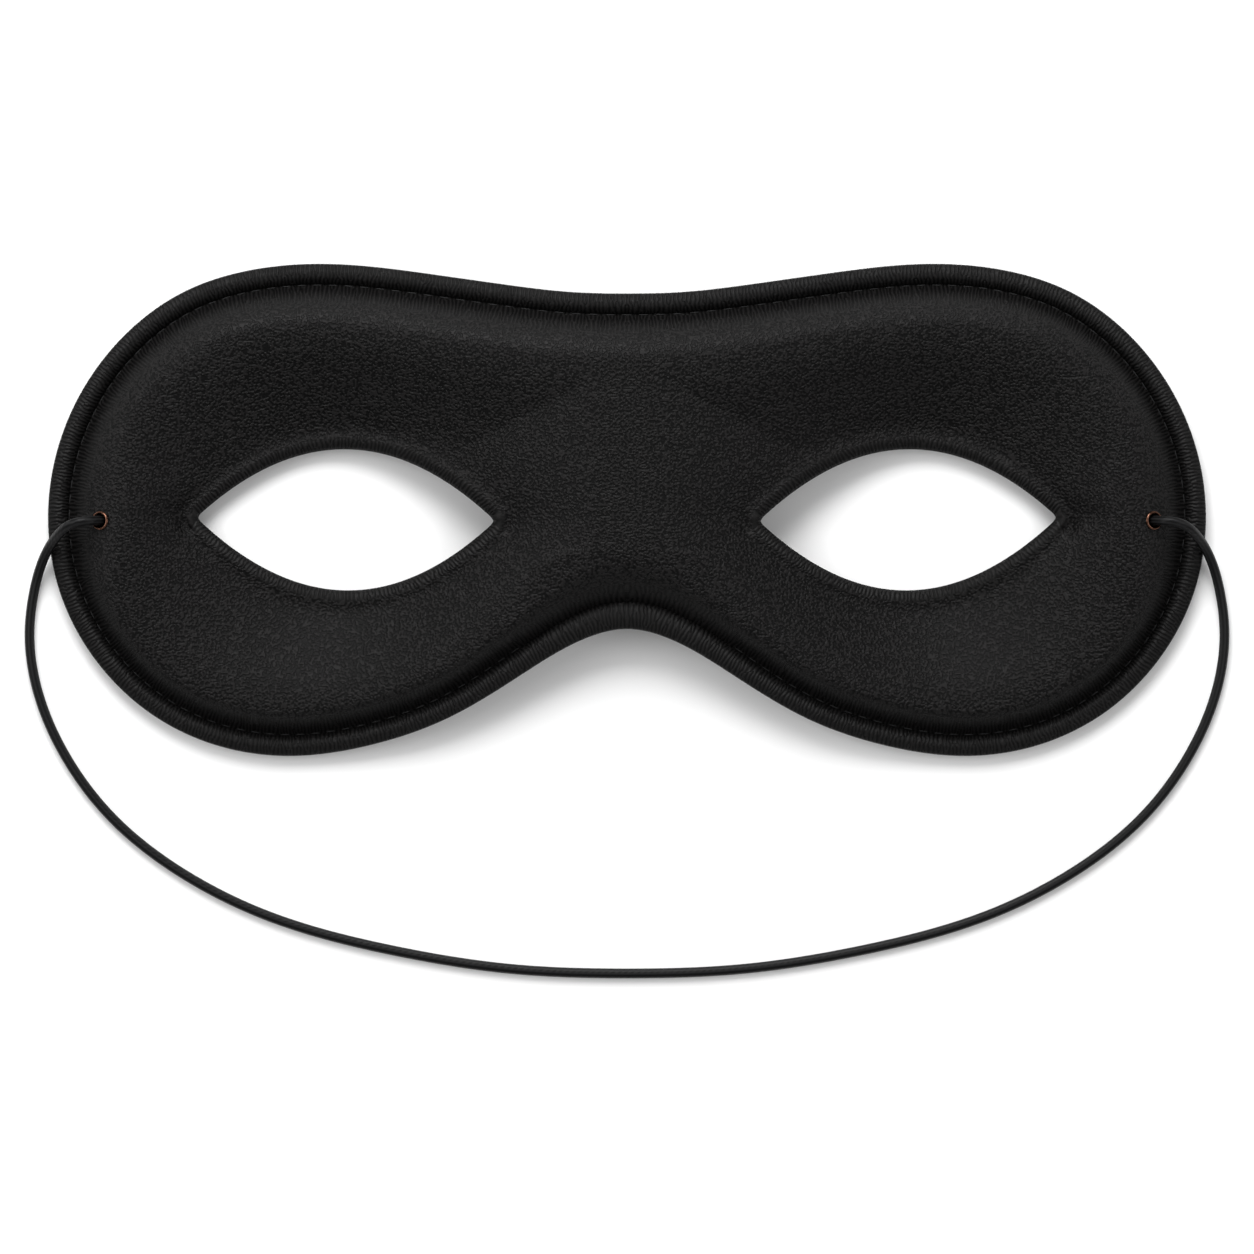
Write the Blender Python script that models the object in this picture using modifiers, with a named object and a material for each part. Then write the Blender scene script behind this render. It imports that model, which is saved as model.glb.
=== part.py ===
"""A domino mask lying face up: +X to the wearer's left, +Y to the brow, +Z out of the face.

A moulded padded shell with two eye openings has its rim gripped by a folded cloth binding.
An elastic cord runs between two metal eyelets in the temples, and is knotted behind each.
"""

import math

import bmesh
import bpy
import numpy as np
from mathutils import Vector

MM = 0.001

# Overall size of the mask
MASK_WIDTH = 180.0 * MM
MASK_HEIGHT = 76.5 * MM

# The padded shell: its wall, the height of its puffed ring over the floor, and how far in it crests
SHELL_WALL = 1.8 * MM
CREST_HEIGHT = 8.8 * MM
CREST_SETBACK = 5.0 * MM

# The nose bridge lifts the middle of the mask off the floor
BRIDGE_LIFT = 6.5 * MM
BRIDGE_REACH = 52.0 * MM

# The almond eye openings
EYE_LENGTH = 45.9 * MM
EYE_RISE = 10.9 * MM
EYE_DROP = 11.0 * MM
EYE_SPACING = 87.3 * MM
EYE_LINE = -1.5 * MM
EYE_SLANT = 0.6 * MM
LIP_WIDTH = 1.6 * MM
LIP_HEIGHT = 0.4 * MM
LIP_TURN = 0.8 * MM

# The binding and the thin tongue of the shell that it grips
BINDING_WIDTH = 3.1 * MM
BINDING_WALL = 0.6 * MM
BINDING_CROWN = 0.35 * MM
TONGUE = 1.0 * MM
FIT_GAP = 0.3 * MM
FOOT = 0.4 * MM

# The eyelets, each set in from the edge on the temple's slope
EYELET_SETBACK = 8.4 * MM
EYELET_HEIGHT = -1.7 * MM
EYELET_WALL = 0.15 * MM
EYELET_FLANGE = 0.4 * MM
EYELET_ROLL = 0.35 * MM
EYELET_GAP = 0.25 * MM
SLOPE_ALLOWANCE = 0.2 * MM

# The elastic cord and its knots
CORD_DIAMETER = 1.55 * MM
CORD_REST = 0.02 * MM
KNOT_WIDTH = 3.0 * MM
KNOT_LENGTH = 2.6 * MM

# How finely the solids are faceted
EDGE_COLUMNS = 52
NOSE_COLUMNS = 8
ROUND_SIDES = 20
CORD_POINTS = 80
BEND_CROWDING = 0.6

# Distances for the arithmetic: steps along a curve, a nearby point, and what counts as one point
FINE_STEPS = 1200
NEARBY = 0.05 * MM
SAME_POINT = 0.01 * MM
SHARE_STEP = 0.002
TEMPLE_SHARES = (0.2, 0.8)
HALVINGS = 40

# The outline and the puffed ring, from the middle of the brow round the temple to the nose arch
# across and up are shares of half the width and half the height
# border, setback and crest are shares of BINDING_WIDTH, CREST_SETBACK and CREST_HEIGHT
OUTLINE_COLUMNS = ("across", "up", "border", "setback", "crest")
OUTLINE = (
    (0.000, 0.874, 1.00, 1.70, 0.90),
    (0.104, 0.882, 1.00, 1.65, 0.92),
    (0.207, 0.911, 1.00, 1.60, 0.96),
    (0.346, 0.959, 1.00, 1.55, 1.00),
    (0.519, 1.000, 1.00, 1.55, 1.00),
    (0.657, 0.972, 1.00, 1.65, 0.97),
    (0.761, 0.892, 1.00, 1.80, 0.95),
    (0.864, 0.720, 1.00, 1.92, 0.93),
    (0.933, 0.518, 1.00, 2.00, 0.92),
    (0.979, 0.285, 1.00, 2.00, 0.92),
    (1.000, 0.000, 1.00, 1.95, 0.93),
    (0.975, -0.366, 1.00, 1.70, 0.94),
    (0.913, -0.626, 1.00, 1.35, 0.96),
    (0.827, -0.821, 1.00, 1.10, 0.98),
    (0.717, -0.951, 1.00, 1.00, 1.00),
    (0.588, -1.000, 1.00, 1.00, 1.00),
    (0.449, -0.959, 1.00, 1.00, 1.00),
    (0.311, -0.848, 1.02, 1.05, 1.00),
    (0.173, -0.656, 1.12, 1.20, 0.97),
    (0.069, -0.520, 1.30, 1.45, 0.92),
    (0.000, -0.484, 1.38, 1.55, 0.90),
)

# The dish between the eye and the puffed ring, by the angle round the eye from the temple by the brow
# lip is a share of CREST_HEIGHT; start and end are shares of the way from the eye to the ring
DISH_COLUMNS = ("angle", "lip", "start", "end")
DISH = (
    (0, 0.52, 0.30, 1.00),
    (45, 0.52, 0.40, 0.95),
    (90, 0.52, 0.42, 0.90),
    (135, 0.54, 0.30, 0.90),
    (180, 0.58, 0.05, 0.85),
    (225, 0.52, 0.02, 1.00),
    (270, 0.48, 0.00, 1.00),
    (315, 0.50, 0.05, 1.00),
)

# Where the rows of faces run: shares of the rise to the crest, and of the dish from lip to crest
RISE_SHARES = (0.12, 0.36, 0.66, 1.0)
DISH_SHARES = (0.16, 0.36, 0.57, 0.78, 1.0)

# An eyelet's rolled flange: shares of the way from the bore to the rim, and of the roll's height
ROLL_SECTION = ((0.0, 0.25), (0.15, 0.85), (0.55, 1.0), (1.0, 0.5), (0.93, 0.0))

# The cord's route in millimetres, from behind the eyelet at +X to the middle of the loop
CORD_ROUTE = (
    (80.2, -1.74, 4.45),
    (81.6, -1.70, 6.67),
    (82.05, -1.69, 7.35),
    (83.2, -1.74, 8.45),
    (84.75, -1.9, 8.85),
    (86.3, -2.4, 8.35),
    (88.0, -3.7, 6.6),
    (89.7, -5.8, 4.0),
    (91.2, -8.9, 2.0),
    (92.3, -13.0, 1.0),
    (92.95, -18.5, 0.8),
    (92.6, -24.0, 0.8),
    (90.9, -30.7, 0.8),
    (87.0, -38.9, 0.8),
    (80.3, -47.7, 0.8),
    (70.0, -56.0, 0.8),
    (56.0, -63.1, 0.8),
    (37.0, -68.4, 0.8),
    (18.0, -71.4, 0.8),
    (0.0, -72.1, 0.8),
)

CLOTH_BLACK = (0.012, 0.012, 0.013)
ELASTIC_BLACK = (0.016, 0.016, 0.017)
OLD_COPPER = (0.30, 0.17, 0.11)


def smooth_curve(knots, values, period=None):
    """Reads a smooth curve through the values at the knots, closed where a period is given."""
    knots, values = np.asarray(knots, float), np.asarray(values, float)
    if period is not None:
        knots = np.append(knots, knots[0] + period)
        values = np.vstack([values, values[:1]])
    step = np.diff(knots)
    slope = np.diff(values, axis=0) / step[:, None]
    count = len(step) if period is not None else len(knots)
    system, right = np.zeros((count, count)), np.zeros((count, values.shape[1]))
    for k in range(count):
        if period is None and k in (0, count - 1):
            near, inner = (0, 1) if k == 0 else (count - 2, count - 2)
            system[k, k], system[k, inner] = 2.0, 1.0
            right[k] = 3.0 * slope[near]
            continue
        before, after = step[k - 1], step[k]
        system[k, k - 1] += after
        system[k, k] += 2.0 * (before + after)
        system[k, (k + 1) % count] += before
        right[k] = 3.0 * (after * slope[k - 1] + before * slope[k])
    tangent = np.linalg.solve(system, right)
    if period is not None:
        tangent = np.vstack([tangent, tangent[:1]])

    def read(at):
        if period is not None:
            at = knots[0] + (at - knots[0]) % period
        k = min(max(int(np.searchsorted(knots, at, side="right")) - 1, 0), len(step) - 1)
        t = (at - knots[k]) / step[k]
        return (
            (1 + 2 * t) * (1 - t) ** 2 * values[k]
            + t * (1 - t) ** 2 * step[k] * tangent[k]
            + t * t * (3 - 2 * t) * values[k + 1]
            - t * t * (1 - t) * step[k] * tangent[k + 1]
        )

    return read


def column(table, names, name):
    """One named column of a table."""
    return np.array([row[names.index(name)] for row in table], float)


def mirrored(values, sign):
    """A half loop's values followed by those of its mirror image, without the two ends again."""
    return np.concatenate([values, sign * values[-2:0:-1]])


def make_edge_reader():
    """Reads the outline at a share of the way from the brow's middle to the nose arch."""
    across = column(OUTLINE, OUTLINE_COLUMNS, "across") * MASK_WIDTH / 2
    up = column(OUTLINE, OUTLINE_COLUMNS, "up") * MASK_HEIGHT / 2
    border = column(OUTLINE, OUTLINE_COLUMNS, "border") * BINDING_WIDTH
    setback = column(OUTLINE, OUTLINE_COLUMNS, "setback") * CREST_SETBACK
    crest = column(OUTLINE, OUTLINE_COLUMNS, "crest") * CREST_HEIGHT
    even = [mirrored(values, 1.0) for values in (up, border, setback, crest)]
    loop = np.stack([mirrored(across, -1.0), *even], axis=1)
    chords = np.linalg.norm(np.roll(loop[:, :2], -1, axis=0) - loop[:, :2], axis=1)
    knots = np.concatenate([[0.0], np.cumsum(chords)[:-1]])
    curve = smooth_curve(knots, loop, period=float(chords.sum()))
    fine = np.linspace(0.0, chords.sum() / 2, FINE_STEPS)
    places = np.array([curve(at)[:2] for at in fine])
    walked = np.concatenate([[0.0], np.cumsum(np.linalg.norm(np.diff(places, axis=0), axis=1))])

    def read(share):
        at = float(np.interp(share * walked[-1], walked, fine))
        row = curve(at)
        ahead, behind = curve(at + NEARBY)[:2], curve(at - NEARBY)[:2]
        along = (ahead - behind) / np.linalg.norm(ahead - behind)
        inward = np.array([along[1], -along[0]])
        return row[:2], inward, row[2], row[3], row[4]

    return read


def bridge_lift(x):
    """How far the nose bridge lifts the mask off the floor at this distance from its middle."""
    share = min(abs(x) / BRIDGE_REACH, 1.0)
    return BRIDGE_LIFT * (1.0 - share * share) ** 2


TONGUE_TOP = BINDING_WALL + FIT_GAP + TONGUE
BORE_RADIUS = CORD_DIAMETER / 2 + EYELET_GAP
BARREL_RADIUS = BORE_RADIUS + EYELET_WALL
HOLE_RADIUS = BARREL_RADIUS + EYELET_GAP
FLANGE_RADIUS = BARREL_RADIUS + EYELET_FLANGE
read_edge = make_edge_reader()
read_dish = smooth_curve(
    column(DISH, DISH_COLUMNS, "angle"), np.array([row[1:] for row in DISH], float), period=360.0
)


def border_point(share, depth):
    """A point of the shell's face near its edge: how far round, and how far in from the edge."""
    place, inward, border, setback, crest = read_edge(share)
    x, y = place + inward * depth
    risen = min(max((depth - border - FOOT) / setback, 0.0), 1.0)
    height = TONGUE_TOP + (crest - TONGUE_TOP) * (1.0 - (1.0 - risen) ** 2)
    return np.array([x, y, bridge_lift(x) + height])


def crest_depth(share):
    """How far in from the edge the puffed ring has its crest."""
    _, _, border, setback, _ = read_edge(share)
    return border + FOOT + setback


def eye_edge(angle):
    """The point of the eye opening's edge at this angle round its centre, and its outward direction."""
    cos, sin = math.cos(angle), math.sin(angle)
    half = EYE_LENGTH / 2
    tall = EYE_RISE if sin >= 0 else EYE_DROP
    if abs(cos) < 1e-6:
        across = 0.0
    else:
        root = math.sqrt((half * sin) ** 2 + (2 * tall * cos) ** 2)
        across = math.copysign((root - half * abs(sin)) / (2 * tall * abs(cos)), cos)
    up = math.copysign(tall * (1.0 - across * across), sin)
    away = np.array([2 * tall * abs(across) / half * math.copysign(1.0, cos), math.copysign(1.0, sin)])
    if abs(across) > 0.9999:
        away = np.array([math.copysign(1.0, cos), 0.0])
    centre = np.array([EYE_SPACING / 2, EYE_LINE])
    place = centre + np.array([across * half, up + across * EYE_SLANT / 2])
    return place, away / np.linalg.norm(away)


def ring_line():
    """The closed line outside the dish: the crest of the ring, then up the ridge of the nose."""
    line = []
    for k in range(EDGE_COLUMNS + 1):
        share = k / EDGE_COLUMNS
        line.append(border_point(share, crest_depth(share)))
    arch, brow = line[-1], line[0]
    for k in range(1, NOSE_COLUMNS):
        share = k / NOSE_COLUMNS
        line.append(arch + (brow - arch) * share)
    return line


def dish_columns():
    """For each point of the ring line: the eye's edge there, its outward direction and the dish's row."""
    centre = np.array([EYE_SPACING / 2, EYE_LINE])
    line = ring_line()
    angles = [math.atan2(*(point[:2] - centre)[::-1]) for point in line]
    corners = {
        min(range(len(line)), key=lambda k: abs(math.remainder(angles[k] - corner, math.tau))): corner
        for corner in (0.0, math.pi)
    }
    columns = []
    for k, (point, angle) in enumerate(zip(line, angles)):
        place, away = eye_edge(corners.get(k, angle))
        columns.append((point, place, away, read_dish(math.degrees(angle))))
    return columns


def dish_point(columns, k, ring):
    """A point of the dish: ring 0 is the turned edge of the eye, 1 its lip, and the last the crest."""
    outer, eye, away, (lip, start, end) = columns[k % len(columns)]
    lip = lip * CREST_HEIGHT
    lip_place = eye + away * LIP_WIDTH
    if ring == 0:
        return np.array([*eye, bridge_lift(eye[0]) + lip - LIP_TURN])
    if ring == 1:
        return np.array([*lip_place, bridge_lift(lip_place[0]) + lip])
    share = DISH_SHARES[ring - 2]
    x, y = lip_place + (outer[:2] - lip_place) * share
    if share == 1.0:
        return outer
    risen = min(max((share - start) / (end - start), 0.0), 1.0)
    risen = risen * risen * (3 - 2 * risen)
    crest = outer[2] - bridge_lift(outer[0])
    floor = lip - LIP_HEIGHT
    return np.array([x, y, bridge_lift(x) + floor + (crest - floor) * risen])


def map_grid(bm, columns, rows, place, weight=lambda row: 1.0):
    """A grid primitive whose points are moved to where the function puts each column and row."""
    group = bm.verts.layers.deform.verify()
    for vert in bmesh.ops.create_grid(bm, x_segments=columns, y_segments=rows, size=0.5)["verts"]:
        k, row = round((vert.co.x + 0.5) * columns), round((vert.co.y + 0.5) * rows)
        vert.co = Vector(place(k, row))
        vert[group][0] = weight(row)


def new_material(name, colour, roughness, metallic=0.0):
    """A plain Principled material."""
    material = bpy.data.materials.new(name)
    material.use_nodes = True
    shader = material.node_tree.nodes["Principled BSDF"]
    shader.inputs["Base Color"].default_value = (*colour, 1.0)
    shader.inputs["Roughness"].default_value = roughness
    shader.inputs["Metallic"].default_value = metallic
    return material


def new_object(name, bm, material, collection):
    """An object of the finished bmesh."""
    mesh = bpy.data.meshes.new(name)
    bm.to_mesh(mesh)
    bm.free()
    obj = bpy.data.objects.new(name, mesh)
    obj.data.materials.append(material)
    collection.objects.link(obj)
    return obj


def close_half(bm):
    """Welds the grids' seams, puts the open ends on the mirror plane and turns the faces one way."""
    bmesh.ops.remove_doubles(bm, verts=bm.verts, dist=SAME_POINT)
    for vert in bm.verts:
        if abs(vert.co.x) < SAME_POINT:
            vert.co.x = 0.0
    bmesh.ops.recalc_face_normals(bm, faces=bm.faces)


def add_mirror(obj):
    """The other half, welded at the middle."""
    mirror = obj.modifiers.new("other half", "MIRROR")
    mirror.merge_threshold = SAME_POINT


def make_shell(material, collection, cutters):
    """The moulded shell: its face is drawn, mirrored, given its wall and pierced for the eyelets."""
    tip = BINDING_WALL + FIT_GAP
    columns = dish_columns()

    def border_place(k, row):
        share = k / EDGE_COLUMNS
        _, _, border, setback, _ = read_edge(share)
        if row < 2:
            return border_point(share, (tip, border + FOOT)[row])
        return border_point(share, border + FOOT + setback * RISE_SHARES[row - 2])

    bm = bmesh.new()
    rows = len(RISE_SHARES) + 1
    map_grid(bm, EDGE_COLUMNS, rows, border_place, lambda row: 0.0 if row < 2 else 1.0)
    map_grid(bm, len(columns), len(DISH_SHARES) + 1, lambda k, row: dish_point(columns, k, row))
    close_half(bm)
    if sum(face.normal.z for face in bm.faces) < 0:
        bmesh.ops.reverse_faces(bm, faces=bm.faces)
    shell = new_object("mask_shell", bm, material, collection)
    shell.vertex_groups.new(name="full wall")
    add_mirror(shell)
    wall = shell.modifiers.new("wall", "SOLIDIFY")
    wall.thickness = SHELL_WALL
    wall.offset = -1.0
    wall.vertex_group = "full wall"
    wall.thickness_vertex_group = TONGUE / SHELL_WALL
    for cutter in cutters:
        hole = shell.modifiers.new("hole for " + cutter.name, "BOOLEAN")
        hole.operation = "DIFFERENCE"
        hole.object = cutter
    shell.data.shade_smooth()
    return shell


def binding_section(border):
    """The folded strip's section: depth in from the edge and height, once round."""
    inside = BINDING_WALL
    top = 2 * BINDING_WALL + 2 * FIT_GAP + TONGUE
    round_off = 1.2 * BINDING_WALL
    return (
        (border, 0.0),
        (round_off, 0.0),
        (0.0, round_off),
        (0.0, top - round_off),
        (0.35 * round_off, top - 0.35 * round_off),
        (0.30 * border, top + 0.85 * BINDING_CROWN),
        (0.60 * border, top + BINDING_CROWN),
        (border, top),
        (border, top - BINDING_WALL),
        (inside, top - BINDING_WALL),
        (inside, BINDING_WALL),
        (border, BINDING_WALL),
    )


def make_binding(material, collection):
    """The folded strip that grips the shell's rim, following the outline."""

    def place(k, row):
        edge, inward, border, _, _ = read_edge(k / EDGE_COLUMNS)
        section = binding_section(border)
        depth, height = section[row % len(section)]
        x, y = edge + inward * depth
        return x, y, bridge_lift(x) + height

    bm = bmesh.new()
    map_grid(bm, EDGE_COLUMNS, len(binding_section(BINDING_WIDTH)), place)
    close_half(bm)
    turn_outwards(bm)
    binding = new_object("edge_binding", bm, material, collection)
    add_mirror(binding)
    binding.data.set_sharp_from_angle(angle=math.radians(50))
    return binding


def turn_outwards(bm):
    """Turns a tube's faces so that those along its underside look down."""
    lowest = min(bm.faces, key=lambda face: face.calc_center_median().z)
    if lowest.normal.z > 0:
        bmesh.ops.reverse_faces(bm, faces=bm.faces)


def eyelet_share():
    """How far round the outline the eyelet's point on the face has the eyelet's height."""
    low, high = TEMPLE_SHARES
    for _ in range(HALVINGS):
        middle = (low + high) / 2
        if border_point(middle, EYELET_SETBACK)[1] > EYELET_HEIGHT:
            low = middle
        else:
            high = middle
    return (low + high) / 2


def eyelet_seat():
    """The eyelet's centre on the face at +X, and the direction that the face looks there."""
    share = eyelet_share()
    seat = border_point(share, EYELET_SETBACK)
    inward = border_point(share, EYELET_SETBACK + BORE_RADIUS) - seat
    outward = border_point(share, EYELET_SETBACK - BORE_RADIUS) - seat
    around = border_point(share + SHARE_STEP, EYELET_SETBACK) - seat
    facing = np.cross(around, inward - outward)
    facing = facing / np.linalg.norm(facing)
    return Vector(seat), Vector(facing if facing[2] > 0 else -facing)


def turned(side, seat, facing):
    """The place and turn of a piece on the eyelet's axis: side is 1 at +X and -1 at -X."""
    place = Vector((side * seat.x, seat.y, seat.z))
    axis = Vector((side * facing.x, facing.y, facing.z))
    return place, axis.to_track_quat("Z", "Y").to_euler()


def make_eyelet(name, side, material, collection):
    """A rolled metal eyelet: a thin barrel with a rounded flange on the face and one behind."""
    face, back = FIT_GAP, -SHELL_WALL - FIT_GAP - SLOPE_ALLOWANCE
    band = FLANGE_RADIUS - BORE_RADIUS
    front = [(BORE_RADIUS + out * band, face + rise * EYELET_ROLL) for out, rise in ROLL_SECTION]
    rear = [(BORE_RADIUS + out * band, back - rise * EYELET_ROLL) for out, rise in ROLL_SECTION]
    profile = front + [(BARREL_RADIUS, face), (BARREL_RADIUS, back)] + rear[::-1]
    bm = bmesh.new()
    verts = [bm.verts.new((radius, 0.0, height)) for radius, height in profile]
    for k, vert in enumerate(verts):
        bm.edges.new((vert, verts[(k + 1) % len(verts)]))
    eyelet = new_object(name, bm, material, collection)
    turn = eyelet.modifiers.new("turn", "SCREW")
    turn.steps = turn.render_steps = ROUND_SIDES
    turn.use_merge_vertices = True
    turn.merge_threshold = SAME_POINT
    turn.use_smooth_shade = True
    eyelet.location, eyelet.rotation_euler = turned(side, *eyelet_seat())
    return eyelet


def make_cutter(name, side, collection):
    """The round hole that an eyelet's barrel goes through."""
    radius, depth = HOLE_RADIUS, 6 * SHELL_WALL
    bm = bmesh.new()
    bmesh.ops.create_cone(
        bm, cap_ends=True, segments=ROUND_SIDES, radius1=radius, radius2=radius, depth=depth
    )
    cutter = bpy.data.objects.new(name, bpy.data.meshes.new(name))
    bm.to_mesh(cutter.data)
    bm.free()
    collection.objects.link(cutter)
    cutter.location, cutter.rotation_euler = turned(side, *eyelet_seat())
    cutter.hide_render = True
    cutter.display_type = "WIRE"
    return cutter


def make_knot(name, side, material, collection):
    """The tight round knot behind an eyelet, on the eyelet's axis."""
    seat, facing = eyelet_seat()
    behind = SHELL_WALL + FIT_GAP + SLOPE_ALLOWANCE + EYELET_ROLL + FIT_GAP + KNOT_LENGTH / 2
    bm = bmesh.new()
    bmesh.ops.create_uvsphere(bm, u_segments=14, v_segments=8, radius=0.5)
    bmesh.ops.scale(bm, vec=(KNOT_WIDTH, KNOT_WIDTH, KNOT_LENGTH), verts=bm.verts)
    knot = new_object(name, bm, material, collection)
    knot.data.shade_smooth()
    knot.location, knot.rotation_euler = turned(side, seat - facing * behind, facing)
    return knot


def make_cord(material, collection):
    """The round elastic, one tube along a smooth curve through its route and its mirror image."""
    half = np.array(CORD_ROUTE, float) * MM
    route = np.vstack([half, half[-2::-1] * np.array([-1.0, 1.0, 1.0])])
    knots = np.concatenate([[0.0], np.cumsum(np.linalg.norm(np.diff(route, axis=0), axis=1))])
    curve = smooth_curve(knots, route)
    fine = np.linspace(0.0, knots[-1], FINE_STEPS)
    line = np.array([curve(at) for at in fine])
    bends = np.linalg.norm(np.diff(line, 2, axis=0), axis=1)
    crowding = np.cumsum(1.0 + BEND_CROWDING * np.interp(fine, fine[1:-1], bends / bends.mean()))
    picked = np.interp(np.linspace(crowding[0], crowding[-1], CORD_POINTS), crowding, fine)
    lowest = CORD_DIAMETER / 2 + CORD_REST
    data = bpy.data.curves.new("elastic_cord", "CURVE")
    data.dimensions = "3D"
    data.bevel_depth = CORD_DIAMETER / 2
    data.bevel_resolution = 2
    data.use_fill_caps = True
    spline = data.splines.new("POLY")
    spline.points.add(CORD_POINTS - 1)
    for point, at in zip(spline.points, picked):
        x, y, z = curve(at)
        point.co = (x, y, max(z, lowest), 1.0)
    data.materials.append(material)
    cord = bpy.data.objects.new("elastic_cord", data)
    collection.objects.link(cord)
    return cord


def main():
    """Builds the mask in an emptied scene."""
    for obj in list(bpy.data.objects):
        bpy.data.objects.remove(obj)
    scene = bpy.context.scene
    parts = bpy.data.collections.new("domino_mask")
    cutters = bpy.data.collections.new("cutters")
    scene.collection.children.link(parts)
    scene.collection.children.link(cutters)
    sides = {"left": -1, "right": 1}
    holes = [make_cutter("eyelet_hole_" + name, side, cutters) for name, side in sides.items()]
    make_shell(new_material("padded cloth", CLOTH_BLACK, 0.75), parts, holes)
    make_binding(new_material("binding cloth", CLOTH_BLACK, 0.75), parts)
    make_cord(new_material("cord elastic", ELASTIC_BLACK, 0.6), parts)
    for name, side in sides.items():
        metal = new_material("eyelet metal " + name, OLD_COPPER, 0.35, metallic=1.0)
        make_eyelet("eyelet_" + name, side, metal, parts)
        elastic = new_material("knot elastic " + name, ELASTIC_BLACK, 0.6)
        make_knot("cord_knot_" + name, side, elastic, parts)


main()
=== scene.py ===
"""The looks of a padded cloth domino mask, lying face up with its elastic cord laid below it."""

import math

import bmesh
import bpy
import numpy as np
from mathutils import Matrix, Vector


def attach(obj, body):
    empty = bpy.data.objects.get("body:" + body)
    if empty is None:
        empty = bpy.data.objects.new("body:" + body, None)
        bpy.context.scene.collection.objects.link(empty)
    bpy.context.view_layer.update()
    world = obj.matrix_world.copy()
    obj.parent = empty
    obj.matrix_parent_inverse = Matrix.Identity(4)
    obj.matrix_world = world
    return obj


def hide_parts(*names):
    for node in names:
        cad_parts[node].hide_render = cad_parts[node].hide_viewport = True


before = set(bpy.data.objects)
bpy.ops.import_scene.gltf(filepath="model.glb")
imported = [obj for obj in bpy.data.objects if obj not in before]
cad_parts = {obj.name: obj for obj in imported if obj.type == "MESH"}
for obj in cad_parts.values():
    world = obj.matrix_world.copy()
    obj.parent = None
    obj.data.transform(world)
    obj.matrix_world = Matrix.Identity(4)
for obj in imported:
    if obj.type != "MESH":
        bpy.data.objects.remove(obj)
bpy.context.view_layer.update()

MM = 0.001

# The view is square on to the face, from far enough away that the sides look flat.
# The photograph is 1254 pixels wide and shows 194.9 mm of the surface that the mask lies on.
VIEW_WIDTH = 194.9 * MM
VIEW_MIDDLE = (0.0, -18.2 * MM)
VIEW_LEVEL = 2.5 * MM
LENS = 280.0
SENSOR = 36.0

camera_data = bpy.data.cameras.new("camera")
camera_data.lens = LENS
camera_data.sensor_width = SENSOR
camera = bpy.data.objects.new("camera", camera_data)
camera.location = (*VIEW_MIDDLE, VIEW_LEVEL + VIEW_WIDTH * LENS / SENSOR)
bpy.context.scene.collection.objects.link(camera)
bpy.context.scene.camera = camera

# The elastic cord: 1.55 mm round elastic of rubber threads in a braided polyester cover.
# It comes up through each eyelet, bends over the edge and lies on the surface in one loose loop.
CORD_DIAMETER = 1.55 * MM
CORD_REST = 0.02 * MM
CORD_STEPS = 620
CORD_SIDES = 24
CORD_RIBS = 8
CORD_RIB_HEIGHT = 0.06 * MM
CORD_ROUTE = (
    (80.2, -1.74, 4.45),
    (81.6, -1.70, 6.67),
    (82.05, -1.69, 7.35),
    (83.2, -1.74, 8.45),
    (84.75, -1.9, 8.85),
    (86.3, -2.4, 8.35),
    (88.0, -3.7, 6.6),
    (89.7, -5.8, 4.0),
    (91.2, -8.9, 2.0),
    (92.3, -13.0, 1.0),
    (92.95, -18.5, 0.8),
    (92.6, -24.0, 0.8),
    (90.9, -30.7, 0.8),
    (87.0, -38.9, 0.8),
    (80.3, -47.7, 0.8),
    (70.0, -56.0, 0.8),
    (56.0, -63.1, 0.8),
    (37.0, -68.4, 0.8),
    (18.0, -71.4, 0.8),
    (0.0, -72.1, 0.8),
)


def smooth_curve(knots, values, period=None):
    """Reads a smooth curve through the values at the knots, closed where a period is given."""
    knots, values = np.asarray(knots, float), np.asarray(values, float)
    if period is not None:
        knots = np.append(knots, knots[0] + period)
        values = np.vstack([values, values[:1]])
    step = np.diff(knots)
    slope = np.diff(values, axis=0) / step[:, None]
    count = len(step) if period is not None else len(knots)
    system, right = np.zeros((count, count)), np.zeros((count, values.shape[1]))
    for k in range(count):
        if period is None and k in (0, count - 1):
            near, inner = (0, 1) if k == 0 else (count - 2, count - 2)
            system[k, k], system[k, inner] = 2.0, 1.0
            right[k] = 3.0 * slope[near]
            continue
        before, after = step[k - 1], step[k]
        system[k, k - 1] += after
        system[k, k] += 2.0 * (before + after)
        system[k, (k + 1) % count] += before
        right[k] = 3.0 * (after * slope[k - 1] + before * slope[k])
    tangent = np.linalg.solve(system, right)
    if period is not None:
        tangent = np.vstack([tangent, tangent[:1]])

    def read(at):
        if period is not None:
            at = knots[0] + (at - knots[0]) % period
        k = min(max(int(np.searchsorted(knots, at, side="right")) - 1, 0), len(step) - 1)
        t = (at - knots[k]) / step[k]
        return (
            (1 + 2 * t) * (1 - t) ** 2 * values[k]
            + t * (1 - t) ** 2 * step[k] * tangent[k]
            + t * t * (3 - 2 * t) * values[k + 1]
            - t * t * (1 - t) * step[k] * tangent[k + 1]
        )

    return read


def even_steps(route, count):
    """Points at even steps along a smooth curve through the route, and their distance along it."""
    knots = np.concatenate([[0.0], np.cumsum(np.linalg.norm(np.diff(route, axis=0), axis=1))])
    curve = smooth_curve(knots, route)
    fine = np.linspace(0.0, knots[-1], 4 * count)
    line = np.array([curve(at) for at in fine])
    walked = np.concatenate([[0.0], np.cumsum(np.linalg.norm(np.diff(line, axis=0), axis=1))])
    along = np.linspace(0.0, walked[-1], count + 1)
    return np.array([curve(at) for at in np.interp(along, walked, fine)]), along


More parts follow.
